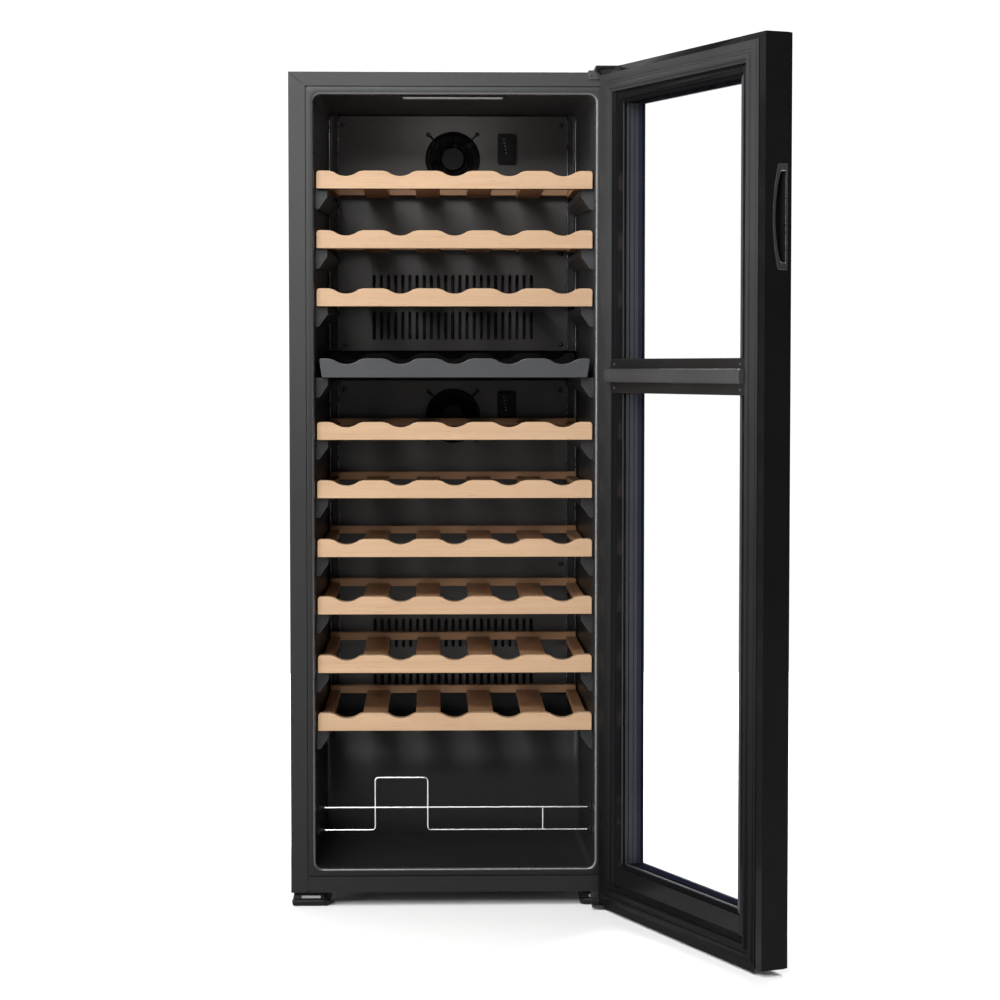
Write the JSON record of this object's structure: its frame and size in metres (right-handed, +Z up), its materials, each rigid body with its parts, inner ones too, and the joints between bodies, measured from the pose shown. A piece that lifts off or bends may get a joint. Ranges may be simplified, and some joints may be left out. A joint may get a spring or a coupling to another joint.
{
  "type": "wine cooler",
  "caption": "Tall free-standing two-zone wine cooler with an open glazed door, wooden bottle shelves on moulded rails, a zone divider, fans and a compressor bay.",
  "frame": {"origin": "bottom centre of the box around the whole object, on the floor, with the door standing open as at rest", "axes": "+Z up, -Y out of the cabinet front towards the user, +X towards the hinge side of the cabinet"},
  "size_m": [0.6918, 1.0148, 1.2643],
  "materials": {
    "cabinet_paint": "satin dark grey enamel on steel sheet",
    "liner_plastic": "black vacuum-formed liner, soft sheen",
    "cover_paint": "satin black-brown enamel",
    "black_plastic": "black moulded plastic, satin",
    "grey_plastic": "dark grey moulded plastic, fine texture",
    "beech": "unvarnished sanded beech",
    "chrome_wire": "bright chrome",
    "door_gloss": "black, high gloss",
    "gasket_rubber": "dark grey magnetic seal, soft sheen",
    "clear_glass": "clear polished glass",
    "spacer_metal": "matt anodised",
    "plain_steel": "zinc-plated steel",
    "coil_metal": "mill finish",
    "foam": "cut rigid foam",
    "lamp_lens": "frosted",
    "circuit": "board and tray"
  },
  "bodies": {
    "cabinet": {"left_side_panel": "cabinet_paint", "right_side_panel": "cabinet_paint", "top_panel": "cabinet_paint", "bottom_front_rail": "cabinet_paint", "rear_panel": "cabinet_paint", "rear_grille": "cabinet_paint", "base_pan": "cabinet_paint", "inner_liner": "liner_plastic", "foam_insulation": "foam", "ceiling_light": "lamp_lens", "zone_divider": "grey_plastic", "wire_rack": "chrome_wire", "upper_evaporator_cover": "cover_paint", "upper_evaporator": "coil_metal", "upper_fan_guard": "black_plastic", "upper_fan_motor": "black_plastic", "upper_sensor_housing": "black_plastic", "lower_evaporator_cover": "cover_paint", "lower_evaporator": "coil_metal", "lower_fan_guard": "black_plastic", "lower_fan_motor": "black_plastic", "lower_sensor_housing": "black_plastic", "compressor_bay_panel": "plain_steel", "compressor": "black_plastic", "condenser": "plain_steel", "condenser_fan_frame": "black_plastic", "drip_tray": "black_plastic", "control_box": "circuit", "front_left_foot": "black_plastic", "front_right_foot": "black_plastic", "rear_left_foot": "black_plastic", "rear_right_foot": "black_plastic", "upper_hinge_bracket": "plain_steel", "lower_hinge_bracket": "plain_steel", "upper_hinge_cover": "black_plastic"},
    "door": {"door_hinge_stile": "door_gloss", "door_handle_stile": "door_gloss", "door_top_rail": "door_gloss", "door_bottom_rail": "door_gloss", "outer_glass": "clear_glass", "inner_glass": "clear_glass", "glass_spacer": "spacer_metal", "door_gasket": "gasket_rubber", "door_mullion": "black_plastic", "mullion_bar": "grey_plastic", "door_grip_cup": "black_plastic", "upper_hinge_bush": "grey_plastic", "lower_hinge_bush": "grey_plastic"},
    "shelf_1": {"bottle_shelf_1": "beech"},
    "shelf_2": {"bottle_shelf_2": "beech"},
    "shelf_3": {"bottle_shelf_3": "beech"},
    "shelf_4": {"bottle_shelf_4": "beech"},
    "shelf_5": {"bottle_shelf_5": "beech"},
    "shelf_6": {"bottle_shelf_6": "beech"},
    "shelf_7": {"bottle_shelf_7": "beech"},
    "shelf_8": {"bottle_shelf_8": "beech"},
    "shelf_9": {"bottle_shelf_9": "beech"},
    "upper_fan": {"upper_fan_rotor": "black_plastic"},
    "lower_fan": {"lower_fan_rotor": "black_plastic"},
    "condenser_fan": {"condenser_fan_rotor": "black_plastic"}
  },
  "joints": [
    {"name": "door_swing", "type": "hinge", "parent": "cabinet", "child": "door", "pos_m": [0.13915, -0.0526, 0.64], "axis": [0, 0, 1], "range_deg": [-112.3, 7.7]},
    {"name": "shelf_1_slide", "type": "slide", "parent": "cabinet", "child": "shelf_1", "axis": [0, -1, 0], "range_m": [0, 0.24]},
    {"name": "shelf_2_slide", "type": "slide", "parent": "cabinet", "child": "shelf_2", "axis": [0, -1, 0], "range_m": [0, 0.24]},
    {"name": "shelf_3_slide", "type": "slide", "parent": "cabinet", "child": "shelf_3", "axis": [0, -1, 0], "range_m": [0, 0.24]},
    {"name": "shelf_4_slide", "type": "slide", "parent": "cabinet", "child": "shelf_4", "axis": [0, -1, 0], "range_m": [0, 0.24]},
    {"name": "shelf_5_slide", "type": "slide", "parent": "cabinet", "child": "shelf_5", "axis": [0, -1, 0], "range_m": [0, 0.24]},
    {"name": "shelf_6_slide", "type": "slide", "parent": "cabinet", "child": "shelf_6", "axis": [0, -1, 0], "range_m": [0, 0.24]},
    {"name": "shelf_7_slide", "type": "slide", "parent": "cabinet", "child": "shelf_7", "axis": [0, -1, 0], "range_m": [0, 0.24]},
    {"name": "shelf_8_slide", "type": "slide", "parent": "cabinet", "child": "shelf_8", "axis": [0, -1, 0], "range_m": [0, 0.24]},
    {"name": "shelf_9_slide", "type": "slide", "parent": "cabinet", "child": "shelf_9", "axis": [0, -1, 0], "range_m": [0, 0.24]},
    {"name": "upper_fan_spin", "type": "hinge", "parent": "cabinet", "child": "upper_fan", "pos_m": [-0.09735, 0.3744, 1.16], "axis": [0, 1, 0], "continuous": true},
    {"name": "lower_fan_spin", "type": "hinge", "parent": "cabinet", "child": "lower_fan", "pos_m": [-0.09735, 0.3744, 0.737], "axis": [0, 1, 0], "continuous": true},
    {"name": "condenser_fan_spin", "type": "hinge", "parent": "cabinet", "child": "condenser_fan", "pos_m": [-0.17235, 0.4194, 0.108], "axis": [1, 0, 0], "continuous": true}
  ]
}
